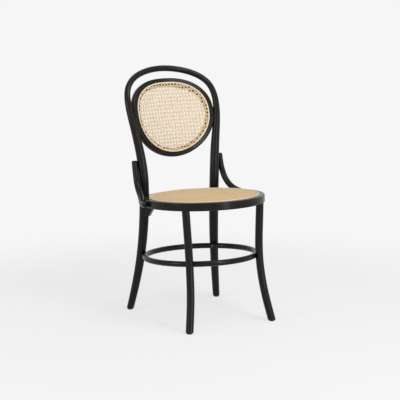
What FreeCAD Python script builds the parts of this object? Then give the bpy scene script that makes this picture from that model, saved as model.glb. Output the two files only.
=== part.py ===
import FreeCAD, Part
import math
import os

# Bentwood bistro chair with a round caned seat and a caned ring in its back.
# Millimetres and degrees. Z is up and the floor is z = 0. The chair faces -Y,
# so +X is the sitter's left. While it is built, the middle of the seat is on the
# Z axis, and the last step moves it so that the origin is under the middle of its box.

Vector = FreeCAD.Vector

# Seat: a bent ring with a caned middle, higher at the front
seat_height = 447.0
seat_tilt = 3.8
seat_radius = 218.5
seat_ring_width = 42.0
seat_ring_height = 28.5
seat_edge_round = 4.0
seat_groove_inset = 20.0

# Cane and the reed spline that wedges its edge into a groove
cane_thickness = 2.0
cane_lip_thickness = 1.3
cane_lip_depth = 5.0
cane_openings_across = 12
cane_open_share = 0.27
cane_rim = 3.0
groove_width = 6.0
groove_depth = 7.0
spline_depth = 5.6
spline_rise = 1.2

# Leg ring: a bent round rod screwed to all four legs
leg_ring_height = 223.6
leg_ring_radius = 202.5
leg_ring_diameter = 20.4
leg_ring_setback = 24.6
rear_ring_let_in = 0.9
front_ring_let_in = 4.0

# Front legs
front_leg_diameter = 28.0
front_leg_inset = 17.5
front_leg_angle = 40.0
front_leg_ring_angle = 49.0
front_foot_angle = 50.9
front_foot_flare = 52.0
tenon_diameter = 19.0
tenon_length = 18.0

# Rear legs and back: one long bent rod
rear_leg_angle = 49.9
rear_leg_let_in = 4.6
rear_leg_ring_angle = 46.2
rear_foot_flare = 44.0
rear_foot_diameter = 25.6
rear_shin_diameter = 32.2
rear_seat_diameter = 35.4
post_diameter = 32.0
shoulder_diameter = 24.6
hoop_diameter = 22.8
shin_height_share = 0.36
rear_shin_flare_share = 0.58
front_shin_flare_share = 0.54

# Line of the back, as heights above the seat and steps from the post at the seat
back_height = 443.0
post_foot_rise = 65.0
post_foot_out = 2.6
post_foot_back = 1.2
post_bend_rise = 153.0
post_bend_out = 12.0
post_bend_back = 12.0
post_turn_rise = 233.0
post_turn_out = 26.2
post_turn_back = 25.9
shoulder_rise = 293.0
shoulder_half_width = 184.3
shoulder_back = 42.5
hoop_back = 103.0
hoop_corner_inset = 10.3
hoop_corner_drop = 75.5
hoop_flank_x = 67.0
hoop_flank_drop = 17.5
back_hollow = 34.0

# Ring inside the back
back_ring_gap = 26.4
back_ring_top = 121.2
back_ring_bottom = 159.4
back_ring_top_power = 2.48
back_ring_bottom_power = 1.96
back_ring_lean = 2.6
back_ring_width = 32.0
back_ring_thickness = 19.4
back_ring_round = 5.0
back_ring_let_in = 1.2
back_groove_inset = 18.0

# Side braces from the posts to the sides of the seat
brace_diameter = 22.0
brace_rise = 115.5
brace_top_angle = 17.0
brace_let_in = 1.6
brace_parting_drop = 52.0
brace_parting_out = 2.8
brace_bend_angle = 39.5
brace_bend_out = 14.5
brace_bend_rise = 34.0
brace_landing_angle = 30.0
brace_settled_angle = 18.5
brace_end_angle = 6.0
brace_end_round = 6.0

# Blocks under the seat behind the ring
block_width = 24.0
block_height = 50.0
block_reach = 29.0
block_toe = 3.0

# Fasteners
screw_diameter = 4.0
screw_core = 2.8
screw_pitch = 2.0
screw_head = 8.0
screw_slot = 1.0
small_screw_length = 28.0
ring_screw_length = 34.0
back_screw_length = 36.0
brace_screw_length = 38.0
back_screw_spacing = 44.0
back_screw_drop = 12.0
back_screw_sink = 5.0
screw_sink = 0.6
sunk_room = 16.0
brace_screw_drop = 16.0
brace_screw_angle = 11.0
block_screw_spread = 16.0
block_screw_share = 0.34
bolt_diameter = 6.0
bolt_head = 16.0
bolt_head_rise = 3.5
bolt_sink = 3.0
bolt_tail = 3.0
washer_diameter = 18.0
washer_thickness = 1.5
nut_width = 10.0
nut_thickness = 5.0
spotface_depth = 1.5

# Glides under the feet
glide_diameter = 20.0
glide_height = 4.0
glide_edge = 1.2
foot_round = 2.0
nail_diameter = 2.2
nail_head = 7.0
nail_head_thickness = 1.0
nail_length = 18.0

# Clearances of the joints
glue_gap = 0.15
hole_gap = 0.15
spline_gap = 0.1

# How far cutting shapes and spare ends reach past a face, and past the back's middle
overshoot = 8.0
overshoot_turn = 8.0
panel_cut_depth = 80.0

# How finely the bent shapes are drawn
circle_step = 30
bow_stations = 65
post_stations = 33
brace_stations = 25
leg_stations = 17
band_stations = 27
sheet_rows = 9
rim_points = 60

x_axis = Vector(1, 0, 0)
z_axis = Vector(0, 0, 1)
front = Vector(0, -1, 0)


# Points, curves and round rods

def polar(radius, angle, height):
    turn = math.radians(angle)
    return Vector(radius * math.cos(turn), radius * math.sin(turn), height)


def tilted_frame(y, height):
    return FreeCAD.Placement(Vector(0, y, height), FreeCAD.Rotation(x_axis, -seat_tilt))


seat_frame = tilted_frame(0, seat_height)
leg_ring_frame = tilted_frame(leg_ring_setback, leg_ring_height)


def placed(shape, frame):
    moved = shape.copy()
    moved.Placement = frame.multiply(moved.Placement)
    return moved


def mirrored(shape):
    return shape.mirror(Vector(0, 0, 0), x_axis)


def flipped(point):
    return Vector(-point.x, point.y, point.z)


def spline_through(points, stations=None):
    curve = Part.BSplineCurve()
    if stations:
        curve.interpolate(Points=points, Parameters=stations)
    else:
        curve.interpolate(Points=points)
    return curve


def value_by_height(pairs):
    """A smooth function of the height, through (height, value) pairs."""
    points = [Vector(height, value, 0) for height, value in pairs]
    curve = spline_through(points, [height for height, value in pairs])
    return lambda height: curve.value(height).y


def aimed(point, direction, side=front):
    """A frame at a point with its Z along a direction and its X towards a side."""
    turn = FreeCAD.Rotation(side, Vector(), direction, "ZXY")
    return FreeCAD.Placement(point, turn)


def round_rod(curve, radius_at, first, last, count, side=front):
    """A rod through count circles square to the curve; radius_at takes a point of it.

    The circles start towards a side that the curve never runs along. Each pole of a
    circle is carried along the curve by a spline, and their poles span the surface."""
    rim = Part.BSplineCurve()
    rim.interpolate(Points=[polar(1, angle, 0) for angle in range(360, 0, -circle_step)],
                    PeriodicFlag=True)
    stations = [first + (last - first) * i / (count - 1) for i in range(count)]
    centres = [curve.value(t) for t in stations]
    frames = [aimed(centre, curve.tangent(t)[0], side) for centre, t in zip(centres, stations)]
    radii = [radius_at(centre) for centre in centres]
    lines = []
    for pole in rim.getPoles():
        points = [frame.multVec(pole * radius) for frame, radius in zip(frames, radii)]
        lines.append(spline_through(points, stations))
    surface = Part.BSplineSurface()
    surface.buildFromPolesMultsKnots(
        [list(row) for row in zip(*[line.getPoles() for line in lines])],
        lines[0].getMultiplicities(), rim.getMultiplicities(),
        lines[0].getKnots(), rim.getKnots(), False, True, lines[0].Degree, rim.Degree)
    side_face = surface.toShape()
    ends = [Part.Face(Part.Wire([edge])) for edge in side_face.Edges if not edge.isSeam(side_face)]
    shell = Part.Shell([side_face] + ends)
    shell.sewShape()
    return Part.Solid(shell)


def point_where(curve, measure, value, low, high):
    """The point of a curve where a measure that only grows along it has a value."""
    for _ in range(40):
        middle = (low + high) / 2
        if measure(curve.value(middle)) < value:
            low = middle
        else:
            high = middle
    return curve.value(low)


def radial_frame(frame, radius, angle, height, sign):
    """A frame at a polar point of another one, with its Z outwards (1) or inwards (-1)."""
    local = aimed(polar(radius, angle, height), polar(sign, angle, 0), z_axis)
    return frame.multiply(local)


# Fasteners, each made with its head's top at the origin and its point along +Z

def turned(outline):
    """A solid of revolution about Z from (radius, height) points."""
    points = [Vector(r, 0, z) for r, z in outline]
    points.append(points[0])
    return Part.Face(Part.makePolygon(points)).revolve(Vector(), z_axis, 360)


def wood_screw(length):
    head_depth = (screw_head - screw_diameter) / 2
    tip = screw_diameter
    thread_start = length * 0.4
    outline = [(0, 0), (screw_head / 2, 0), (screw_diameter / 2, head_depth)]
    outline.append((screw_diameter / 2, thread_start))
    z = thread_start
    while z + screw_pitch < length - tip:
        outline.append((screw_core / 2, z + screw_pitch * 0.3))
        outline.append((screw_diameter / 2, z + screw_pitch * 0.5))
        outline.append((screw_core / 2, z + screw_pitch * 0.7))
        z += screw_pitch
    outline += [(screw_core / 2, length - tip), (0, length)]
    slot = Part.makeBox(screw_head * 2, screw_slot, head_depth * 0.6)
    slot.translate(Vector(-screw_head, -screw_slot / 2, 0))
    return turned(outline).cut(slot)


def screw_hole(length, room=overshoot):
    """The hole for a wood screw, with room over its head."""
    grown = screw_diameter / 2 + hole_gap
    head = screw_head / 2 + hole_gap
    outline = [(0, -room), (head, -room), (head, 0)]
    outline += [(grown, head - grown), (grown, length + hole_gap), (0, length + hole_gap)]
    return turned(outline)


def carriage_bolt(length):
    """A domed head above the origin and a plain shank below it."""
    ball = (bolt_head ** 2 / 4 + bolt_head_rise ** 2) / (2 * bolt_head_rise)
    dome = Part.makeSphere(ball, Vector(0, 0, ball - bolt_head_rise))
    dome = dome.common(Part.makeCylinder(bolt_head, bolt_head_rise, Vector(0, 0, -bolt_head_rise)))
    return dome.fuse(Part.makeCylinder(bolt_diameter / 2, length)).removeSplitter()


def washer():
    disc = Part.makeCylinder(washer_diameter / 2, washer_thickness)
    return disc.cut(Part.makeCylinder(bolt_diameter / 2 + hole_gap, washer_thickness))


def hex_nut():
    corner = nut_width / math.sqrt(3)
    points = [polar(corner, 60 * i, 0) for i in range(7)]
    body = Part.Face(Part.makePolygon(points)).extrude(Vector(0, 0, nut_thickness))
    return body.cut(Part.makeCylinder(bolt_diameter / 2 + hole_gap, nut_thickness))


# Line of the back: side view, width and hollow

seat_post_radius = seat_radius + rear_seat_diameter / 2 - rear_leg_let_in
post_at_seat = seat_frame.multVec(polar(seat_post_radius, rear_leg_angle, -seat_ring_height / 2))
top_height = seat_height + back_height
cut_reach = 2 * top_height
hoop_centre_height = top_height - hoop_diameter / 2
post_foot_height = seat_height + post_foot_rise
bend_height = seat_height + post_bend_rise
turn_height = seat_height + post_turn_rise
shoulder_height = seat_height + shoulder_rise

side_view = value_by_height([
    (post_at_seat.z, post_at_seat.y),
    (post_foot_height, post_at_seat.y + post_foot_back),
    (bend_height, post_at_seat.y + post_bend_back),
    (turn_height, post_at_seat.y + post_turn_back),
    (shoulder_height, post_at_seat.y + shoulder_back),
    (hoop_centre_height, post_at_seat.y + hoop_back)])


def back_surface(x, z):
    """Middle of the back, drawn from the posts' side view and hollow across."""
    return Vector(x, side_view(z) + back_hollow * (1 - (x / shoulder_half_width) ** 2), z)


# Rear legs, posts and hoop in one rod

rear_leg_ring_radius = (leg_ring_radius + leg_ring_diameter / 2
                        + rear_shin_diameter / 2 - rear_ring_let_in)
rear_at_ring = leg_ring_frame.multVec(polar(rear_leg_ring_radius, rear_leg_ring_angle, 0))


def rear_leg_point(flare, height):
    point = polar(rear_leg_ring_radius + flare, rear_leg_ring_angle, height)
    return point + Vector(0, leg_ring_setback, 0)


def carried_on(end, before):
    """A spare point past the end of a leg's line, to be cut off there."""
    return end + (end - before) * (overshoot / abs(end.z - before.z))


def post_knot(out, height):
    return Vector(post_at_seat.x + out, side_view(height), height)


def bow_half_knots():
    foot = rear_leg_point(rear_foot_flare, 0)
    shin = rear_leg_point(rear_foot_flare * rear_shin_flare_share, rear_at_ring.z * shin_height_share)
    return [
        carried_on(foot, shin),
        foot,
        shin,
        rear_at_ring,
        post_at_seat,
        post_knot(post_foot_out, post_foot_height),
        post_knot(post_bend_out, bend_height),
        post_knot(post_turn_out, turn_height),
        Vector(shoulder_half_width, side_view(shoulder_height), shoulder_height),
        back_surface(shoulder_half_width - hoop_corner_inset, top_height - hoop_corner_drop),
        back_surface(hoop_flank_x, top_height - hoop_flank_drop)]


bow_knots = bow_half_knots()
bow_knots.append(back_surface(0, hoop_centre_height))
bow_knots += [flipped(point) for point in reversed(bow_half_knots())]
bow_curve = spline_through(bow_knots)
bow_radius = value_by_height([
    (-overshoot, rear_foot_diameter / 2),
    (rear_at_ring.z, rear_shin_diameter / 2),
    (post_at_seat.z, rear_seat_diameter / 2),
    (bend_height, post_diameter / 2),
    (shoulder_height, shoulder_diameter / 2),
    (top_height, hoop_diameter / 2)])


def bow_rod(grow, count, share=1.0):
    """The bent rod, thicker all round by grow; a share of 0.5 stops at the top."""
    first, last = bow_curve.FirstParameter, bow_curve.LastParameter
    return round_rod(bow_curve, lambda point: bow_radius(point.z) + grow,
                     first, first + (last - first) * share, count)


def post_point(height):
    last = bow_curve.FirstParameter + (bow_curve.LastParameter - bow_curve.FirstParameter) * 0.4
    return point_where(bow_curve, lambda point: point.z, height, bow_curve.FirstParameter, last)


# Seat ring, cane and spline, made flat with the seat's top at z = 0

seat_inner_radius = seat_radius - seat_ring_width
groove_outer = seat_radius - seat_groove_inset
groove_inner = groove_outer - groove_width
lip_inner = groove_inner + glue_gap
lip_outer = lip_inner + cane_lip_thickness


def flat_ring(outer, inner, low, high):
    disc = Part.makeCylinder(outer, high - low, Vector(0, 0, low))
    return disc.cut(Part.makeCylinder(inner, high - low, Vector(0, 0, low)))


def seat_ring_body(grow):
    body = flat_ring(seat_radius + grow, seat_inner_radius, -seat_ring_height - grow, grow)
    rims = [edge for edge in body.Edges
            if isinstance(edge.Curve, Part.Circle) and edge.Curve.Radius > seat_radius - glue_gap]
    return body.makeFillet(seat_edge_round, rims)


def opening_grid(half_width, half_length, inside):
    """Square columns along Z, in a plain grid, that stand for the open mesh of the cane.

    So many go across the width, and only those whose corners are all inside are kept."""
    pitch = 2 * half_width / cane_openings_across
    side = pitch * math.sqrt(cane_open_share)
    columns = []
    for i in range(cane_openings_across):
        for j in range(2 * int(half_length / pitch) + 1):
            x = (i + 0.5) * pitch - half_width
            y = (j - int(half_length / pitch)) * pitch
            corners = [(x + a * side / 2, y + b * side / 2) for a in (-1, 1) for b in (-1, 1)]
            if all(inside(*corner) for corner in corners):
                columns.append(Part.makeBox(side, side, cut_reach,
                                            Vector(x - side / 2, y - side / 2, -cut_reach / 2)))
    return columns


def inside_seat_ring(x, y):
    return math.hypot(x, y) < seat_inner_radius - cane_rim


def seat_cane_panel():
    panel = Part.makeCylinder(lip_outer, cane_thickness)
    lip = flat_ring(lip_outer, lip_inner, -cane_lip_depth, cane_thickness)
    columns = opening_grid(seat_inner_radius, seat_inner_radius, inside_seat_ring)
    return panel.fuse(lip).removeSplitter().cut(columns)


def seat_spline_ring():
    outer = groove_outer - spline_gap
    inner = lip_outer + spline_gap
    body = flat_ring(outer, inner, -spline_depth, cane_thickness + spline_rise)
    top = [edge for edge in body.Edges if edge.BoundBox.ZMin > cane_thickness]
    return body.makeFillet((outer - inner) * 0.4, [e for e in top if isinstance(e.Curve, Part.Circle)])


# Ring of the back, swept square to the hollow surface

ring_top_height = top_height - hoop_diameter - back_ring_gap
ring_height = ring_top_height - back_ring_top
post_at_ring = post_point(ring_height)
ring_half_width = post_at_ring.x - bow_radius(ring_height) + back_ring_let_in


def ring_surface(x, z):
    """Middle of the ring and its cane: the back's surface, leaning a little more."""
    lean = (z - ring_height) * math.tan(math.radians(back_ring_lean))
    return back_surface(x, z) + Vector(0, lean, 0)


def front_normal(x, z):
    step = 0.5
    slope_x = (ring_surface(x + step, z).y - ring_surface(x - step, z).y) / (2 * step)
    slope_z = (ring_surface(x, z + step).y - ring_surface(x, z - step).y) / (2 * step)
    return Vector(slope_x, -1, slope_z).normalize()


def ring_edge(turn):
    """A point of the ring's outer outline, x and z, by its direction from the middle."""
    c, s = math.cos(turn), math.sin(turn)
    if s >= 0:
        tall, power = back_ring_top, back_ring_top_power
    else:
        tall, power = back_ring_bottom, back_ring_bottom_power
    radius = (abs(c / ring_half_width) ** power + abs(s / tall) ** power) ** (-1 / power)
    return radius * c, ring_height + radius * s


def ring_frame(turn):
    """Frame on the ring's edge: X inwards along the back, Y to its front, Z along the edge."""
    step = 0.01
    point = ring_surface(*ring_edge(turn))
    along = ring_surface(*ring_edge(turn + step)) - ring_surface(*ring_edge(turn - step))
    inwards = front_normal(*ring_edge(turn)).cross(along)
    return aimed(point, along.normalize(), inwards.normalize())


def soft_box(x0, x1, y0, y1, round_outer, round_inner):
    """Closed rectangular wire with its corners rounded, by one radius at each X end."""
    if not round_outer:
        corners = [Vector(x0, y0), Vector(x1, y0), Vector(x1, y1), Vector(x0, y1), Vector(x0, y0)]
        return Part.makePolygon(corners)
    edges = []
    places = [(x0, y0, round_outer, 180), (x1, y0, round_inner, 270),
              (x1, y1, round_inner, 0), (x0, y1, round_outer, 90)]
    arcs = []
    for x, y, radius, start in places:
        centre = Vector(x + radius * (1 if x == x0 else -1), y + radius * (1 if y == y0 else -1))
        arcs.append(Part.makeCircle(radius, centre, z_axis, start, start + 90))
    for i, arc in enumerate(arcs):
        following = arcs[(i + 1) % 4]
        edges.append(arc)
        edges.append(Part.makeLine(arc.valueAt(arc.LastParameter),
                                   following.valueAt(following.FirstParameter)))
    return Part.Wire(edges)


def ring_band(inset_from, inset_to, low, high, round_outer=0.0, round_inner=0.0):
    """A band right round the back: insets from its outer edge, heights from its middle."""
    section = soft_box(inset_from, inset_to, low, high, round_outer, round_inner)
    spare = math.radians(overshoot_turn)
    wires = []
    for i in range(band_stations):
        turn = -math.pi / 2 - spare + (math.pi + 2 * spare) * i / (band_stations - 1)
        wires.append(placed(section, ring_frame(turn)))
    half = Part.makeLoft(wires, True)
    left = Part.makeBox(cut_reach, cut_reach, cut_reach, Vector(0, -cut_reach / 2, 0))
    half = half.common(left)
    return half.fuse(mirrored(half)).removeSplitter()


def back_sheet(low, high):
    """A slab as large as the ring, between two heights over the middle of the back."""
    wires = []
    for i in range(sheet_rows):
        share = i / (sheet_rows - 1)
        z = ring_height - back_ring_bottom + (back_ring_top + back_ring_bottom) * share
        edges = []
        for rise in (low, high):
            points = []
            for j in range(sheet_rows):
                x = ring_half_width * (2 * j / (sheet_rows - 1) - 1)
                points.append(ring_surface(x, z) + front_normal(x, z) * rise)
            edges.append(spline_through(points).toShape())
        front_ends = [edge.valueAt(edge.FirstParameter) for edge in edges]
        rear_ends = [edge.valueAt(edge.LastParameter) for edge in edges]
        wires.append(Part.Wire([edges[0], Part.makeLine(rear_ends[0], rear_ends[1]),
                                edges[1], Part.makeLine(front_ends[1], front_ends[0])]))
    return Part.makeLoft(wires, True)


back_face = back_ring_thickness / 2
back_lip_inner = back_groove_inset + groove_width - glue_gap
back_lip_outer = back_lip_inner - cane_lip_thickness


def inside_back_ring(x, y):
    """Whether a point is inside the ring's wood; y is the height below the ring's middle."""
    edge_x, edge_z = ring_edge(math.atan2(-y, x))
    radius = math.hypot(edge_x, edge_z - ring_height)
    return math.hypot(x, y) < radius - back_ring_width - cane_rim


def back_cane_panel():
    facing = front_normal(0, ring_height)
    middle = ring_surface(0, ring_height)
    points = []
    for i in range(rim_points):
        frame = ring_frame(2 * math.pi * i / rim_points)
        point = frame.multVec(Vector((back_lip_outer + back_lip_inner) / 2, back_face, 0))
        points.append(point + facing * (panel_cut_depth - (point - middle).dot(facing)))
    rim = Part.BSplineCurve()
    rim.interpolate(Points=points, PeriodicFlag=True)
    cutter = Part.Face(Part.Wire(rim.toShape())).extrude(facing * (-2 * panel_cut_depth))
    panel = back_sheet(back_face, back_face + cane_thickness).common(cutter)
    lip = ring_band(back_lip_outer, back_lip_inner, back_face - cane_lip_depth,
                    back_face + cane_thickness / 2)
    columns = opening_grid(ring_half_width - back_ring_width, back_ring_bottom, inside_back_ring)
    openings = [column.copy() for column in columns]
    for opening in openings:
        opening.rotate(Vector(), x_axis, 90)
        opening.translate(Vector(0, cut_reach / 2, ring_height))
    return panel.cut(openings).fuse(lip)


# Side brace, drawn for the sitter's left

brace_radius = brace_diameter / 2
brace_top_height = seat_height + brace_rise
brace_seat_radius = seat_radius + brace_radius - brace_let_in


def beside_post(height, out, angle):
    """A point beside the left post, this far clear of touching it."""
    apart = bow_radius(height) + brace_radius + out
    return post_point(height) + polar(apart, angle, 0)


brace_curve = spline_through([
    beside_post(brace_top_height, -brace_let_in, brace_top_angle),
    beside_post(brace_top_height - brace_parting_drop, brace_parting_out, 0),
    seat_frame.multVec(polar(brace_seat_radius + brace_bend_out, brace_bend_angle, brace_bend_rise)),
    seat_frame.multVec(polar(brace_seat_radius, brace_landing_angle, 0)),
    seat_frame.multVec(polar(brace_seat_radius, brace_settled_angle, -seat_ring_height / 2)),
    seat_frame.multVec(polar(brace_seat_radius, brace_end_angle, -seat_ring_height / 2))])


def brace_point(measure, value):
    return point_where(brace_curve, measure, value, brace_curve.FirstParameter,
                       brace_curve.LastParameter)


def brace_body():
    rod = round_rod(brace_curve, lambda point: brace_radius, brace_curve.FirstParameter,
                    brace_curve.LastParameter, brace_stations, x_axis)
    rims = [edge for edge in rod.Edges if edge.isClosed()]
    return rod.makeFillet(brace_end_round, rims)


# Front leg, drawn for the sitter's left

front_leg_radius = front_leg_diameter / 2
front_leg_ring_radius = (leg_ring_radius + leg_ring_diameter / 2
                         + front_leg_radius - front_ring_let_in)
front_at_ring = leg_ring_frame.multVec(polar(front_leg_ring_radius, -front_leg_ring_angle, 0))


def front_leg_knots():
    foot = polar(front_leg_ring_radius + front_foot_flare, -front_foot_angle, 0)
    shin = polar(front_leg_ring_radius + front_foot_flare * front_shin_flare_share,
                 -front_foot_angle, front_at_ring.z * shin_height_share)
    foot += Vector(0, leg_ring_setback, 0)
    shin += Vector(0, leg_ring_setback, 0)
    socket = polar(seat_radius - front_leg_inset, -front_leg_angle, -seat_ring_height)
    top = seat_frame.multVec(socket)
    return [carried_on(foot, shin), foot, shin, front_at_ring, top,
            carried_on(top, front_at_ring)]


front_knots = front_leg_knots()
front_top = front_knots[-2]
front_top_direction = (front_top - front_at_ring).normalize()
front_curve = spline_through(front_knots)


def front_leg_body():
    first, last = front_curve.FirstParameter, front_curve.LastParameter
    rod = round_rod(front_curve, lambda point: front_leg_radius, first, last, leg_stations)
    lid = Part.makeBox(cut_reach, cut_reach, seat_ring_height,
                       Vector(-cut_reach / 2, -cut_reach / 2, -seat_ring_height))
    return rod.cut(placed(lid, seat_frame)).fuse(tenon(tenon_diameter / 2, tenon_length))


def tenon(radius, length):
    base = front_top - front_top_direction * overshoot
    return Part.makeCylinder(radius, length + overshoot, base, front_top_direction)


# Block under the seat, behind the left rear leg's joint

block_leg_radius = seat_post_radius - rear_seat_diameter / 2
block_tip_radius = block_leg_radius - block_reach


def block_body():
    leg_face, tip, under = block_leg_radius, block_tip_radius, -seat_ring_height
    outline = [(tip, under), (seat_post_radius, under), (seat_post_radius, under - block_height),
               (leg_face, under - block_height), (tip, under - block_toe), (tip, under)]
    face = Part.Face(Part.makePolygon([Vector(r, -block_width / 2, z) for r, z in outline]))
    block = face.extrude(Vector(0, block_width, 0))
    return placed(block, seat_frame.multiply(around_z(rear_leg_angle)))


def around_z(angle):
    return FreeCAD.Placement(Vector(), FreeCAD.Rotation(z_axis, angle))


# Places of the fasteners on the left side, each with its Z along the fastener

bolt_seat_radius = seat_post_radius + rear_seat_diameter / 2 - bolt_sink
washer_seat_radius = seat_inner_radius + spotface_depth
bolt_place = radial_frame(seat_frame, bolt_seat_radius, rear_leg_angle, -seat_ring_height / 2, -1)
washer_place = radial_frame(seat_frame, washer_seat_radius, rear_leg_angle,
                            -seat_ring_height / 2, -1)
lock_place = radial_frame(seat_frame, seat_inner_radius + screw_sink, -front_leg_angle,
                          -seat_ring_height + tenon_length / 2, 1)
ring_screw_start = leg_ring_radius - leg_ring_diameter / 2 + screw_sink
rear_ring_place = radial_frame(leg_ring_frame, ring_screw_start, rear_leg_ring_angle, 0, 1)
front_ring_place = radial_frame(leg_ring_frame, ring_screw_start, -front_leg_ring_angle, 0, 1)


def back_screw_place(rise):
    """From the outside of the post, through it and into the ring of the back."""
    low, high = -math.pi / 3, math.pi / 3
    height = ring_height - back_screw_drop + rise
    for _ in range(40):
        turn = (low + high) / 2
        if ring_edge(turn)[1] < height:
            low = turn
        else:
            high = turn
    frame = ring_frame(turn)
    inwards = frame.Rotation.multVec(x_axis)
    depth = 2 * bow_radius(height) - back_ring_let_in - back_screw_sink
    return aimed(frame.Base - inwards * depth, inwards, z_axis)


def brace_top_place():
    height = brace_top_height - brace_screw_drop
    centre = brace_point(lambda point: -point.z, -height)
    inwards = (post_point(height) - centre).normalize()
    return aimed(centre - inwards * (brace_radius - screw_sink), inwards, z_axis)


def brace_seat_place():
    centre = brace_point(lambda point: -math.atan2(point.y, point.x),
                         -math.radians(brace_screw_angle))
    inwards = Vector(-centre.x, -centre.y, 0).normalize()
    return aimed(centre - inwards * (brace_radius - screw_sink), inwards, z_axis)


def block_screw_place(side):
    """Upwards into the seat ring beside the bolt, its whole head sunk in the block's slope."""
    slope = (block_height - block_toe) / block_reach
    from_tip = block_reach * block_screw_share
    drop = block_toe + slope * (from_tip - screw_head / 2) - screw_sink
    point = Vector(block_tip_radius + from_tip, side * block_screw_spread / 2,
                   -seat_ring_height - drop)
    local = FreeCAD.Placement(point, FreeCAD.Rotation())
    return seat_frame.multiply(around_z(rear_leg_angle)).multiply(local)


back_places = [back_screw_place(side * back_screw_spacing / 2) for side in (-1, 1)]
block_places = [block_screw_place(side) for side in (-1, 1)]
bolt_length = (bolt_seat_radius - washer_seat_radius + washer_thickness
               + nut_thickness + bolt_tail)


def both_sides(shape):
    return [shape, mirrored(shape)]


def both_sides_at(shape, places):
    """Copies of a shape at each place on the left, and their mirror images."""
    copies = [placed(shape, place) for place in places]
    return copies + [mirrored(copy) for copy in copies]


def drilled(body, *cutters):
    """A body less any number of lists of cutting shapes."""
    return body.cut([cutter for group in cutters for cutter in group])


# Cutting shapes

floor_cut = Part.makeBox(cut_reach, cut_reach, cut_reach,
                         Vector(-cut_reach / 2, -cut_reach / 2, glide_height - cut_reach))
bolt_hole = Part.makeCylinder(bolt_diameter / 2 + hole_gap, bolt_length)
head_hole = Part.makeCylinder(bolt_head / 2 + hole_gap, overshoot, Vector(0, 0, -overshoot))
spotface = Part.makeCylinder(washer_diameter / 2 + hole_gap * 2, overshoot * 2)
nail_hole = Part.makeCylinder(nail_diameter / 2 + hole_gap, nail_length + glide_height)
bolt_cuts = both_sides_at(bolt_hole.fuse(head_hole), [bolt_place])
spot_cuts = both_sides_at(spotface, [washer_place])
lock_cuts = both_sides_at(screw_hole(small_screw_length), [lock_place])
rear_ring_cuts = both_sides_at(screw_hole(ring_screw_length), [rear_ring_place])
front_ring_cuts = both_sides_at(screw_hole(ring_screw_length), [front_ring_place])
back_cuts = both_sides_at(screw_hole(back_screw_length, sunk_room), back_places)
brace_top_cuts = both_sides_at(screw_hole(brace_screw_length), [brace_top_place()])
brace_seat_cuts = both_sides_at(screw_hole(brace_screw_length), [brace_seat_place()])
block_cuts = both_sides_at(screw_hole(small_screw_length, sunk_room), block_places)
leg_ring_grown = placed(Part.makeTorus(leg_ring_radius, leg_ring_diameter / 2 + glue_gap),
                        leg_ring_frame)
seat_ring_grown = placed(seat_ring_body(glue_gap), seat_frame)


def foot_at(curve, last):
    """Where a leg's line comes down to the top of its glide."""
    point = point_where(curve, lambda place: place.z, glide_height, curve.FirstParameter, last)
    return FreeCAD.Placement(Vector(point.x, point.y, 0), FreeCAD.Rotation())


bow_half = (bow_curve.FirstParameter + bow_curve.LastParameter) / 2
foot_places = [foot_at(bow_curve, bow_half), foot_at(front_curve, front_curve.LastParameter)]
nail_cuts = both_sides_at(nail_hole, foot_places)


def rounded_feet(body):
    """The rims of the level foot faces, rounded over."""
    rims = []
    for face in body.Faces:
        if isinstance(face.Surface, Part.Plane) and face.BoundBox.ZMax < glide_height + 0.01:
            rims += face.OuterWire.Edges
    return body.makeFillet(foot_round, rims)


# The pieces

def make_back_bow():
    bow = rounded_feet(bow_rod(0, bow_stations).cut(floor_cut))
    return drilled(bow, [seat_ring_grown, leg_ring_grown], bolt_cuts, rear_ring_cuts,
                   back_cuts, brace_top_cuts, nail_cuts)


def make_back_ring(posts):
    body = ring_band(0, back_ring_width, -back_face, back_face, back_ring_round,
                     back_ring_round / 2)
    groove = ring_band(back_groove_inset, back_groove_inset + groove_width,
                       back_face - groove_depth, back_face + overshoot)
    return drilled(body, [groove], posts, back_cuts)


def make_back_spline():
    return ring_band(back_groove_inset + spline_gap, back_lip_outer - spline_gap,
                     back_face - spline_depth, back_face + cane_thickness + spline_rise,
                     groove_width / 5, groove_width / 5)


def make_seat_ring():
    ring = seat_ring_body(0).cut(flat_ring(groove_outer, groove_inner, -groove_depth, overshoot))
    bores = both_sides(tenon(tenon_diameter / 2 + hole_gap, tenon_length + hole_gap))
    return drilled(placed(ring, seat_frame), bores, bolt_cuts, spot_cuts, lock_cuts,
                   brace_seat_cuts, block_cuts)


def make_leg_ring():
    ring = placed(Part.makeTorus(leg_ring_radius, leg_ring_diameter / 2), leg_ring_frame)
    return drilled(ring, rear_ring_cuts, front_ring_cuts)


def make_front_leg():
    leg = rounded_feet(front_leg_body().cut(floor_cut))
    return drilled(leg, [leg_ring_grown], front_ring_cuts[:1], lock_cuts[:1], nail_cuts)


def make_brace(posts):
    return drilled(brace_body(), [seat_ring_grown], posts[:1], brace_top_cuts[:1],
                   brace_seat_cuts[:1])


def make_block(posts):
    return drilled(block_body(), posts[:1], block_cuts[:2])


def make_plugs(bow):
    """Round plugs over the sunk back screws, cut flush with the posts."""
    plug = Part.makeCylinder(screw_head / 2, sunk_room, Vector(0, 0, -sunk_room))
    return [plug.common(bow) for plug in both_sides_at(plug, back_places)]


def glide_nail(grow):
    head_low = (glide_height - nail_head_thickness) / 2
    top = head_low + nail_head_thickness
    return turned([(0, head_low - grow), (nail_head / 2 + grow, head_low - grow),
                   (nail_head / 2 + grow, top + grow), (nail_diameter / 2 + grow, top + grow),
                   (nail_diameter / 2 + grow, nail_length - nail_diameter), (0, nail_length)])


def foot_glide():
    radius = glide_diameter / 2
    disc = turned([(0, 0), (radius - glide_edge, 0), (radius, glide_edge),
                   (radius, glide_height), (0, glide_height)])
    return disc.cut(glide_nail(spline_gap / 2))


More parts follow.
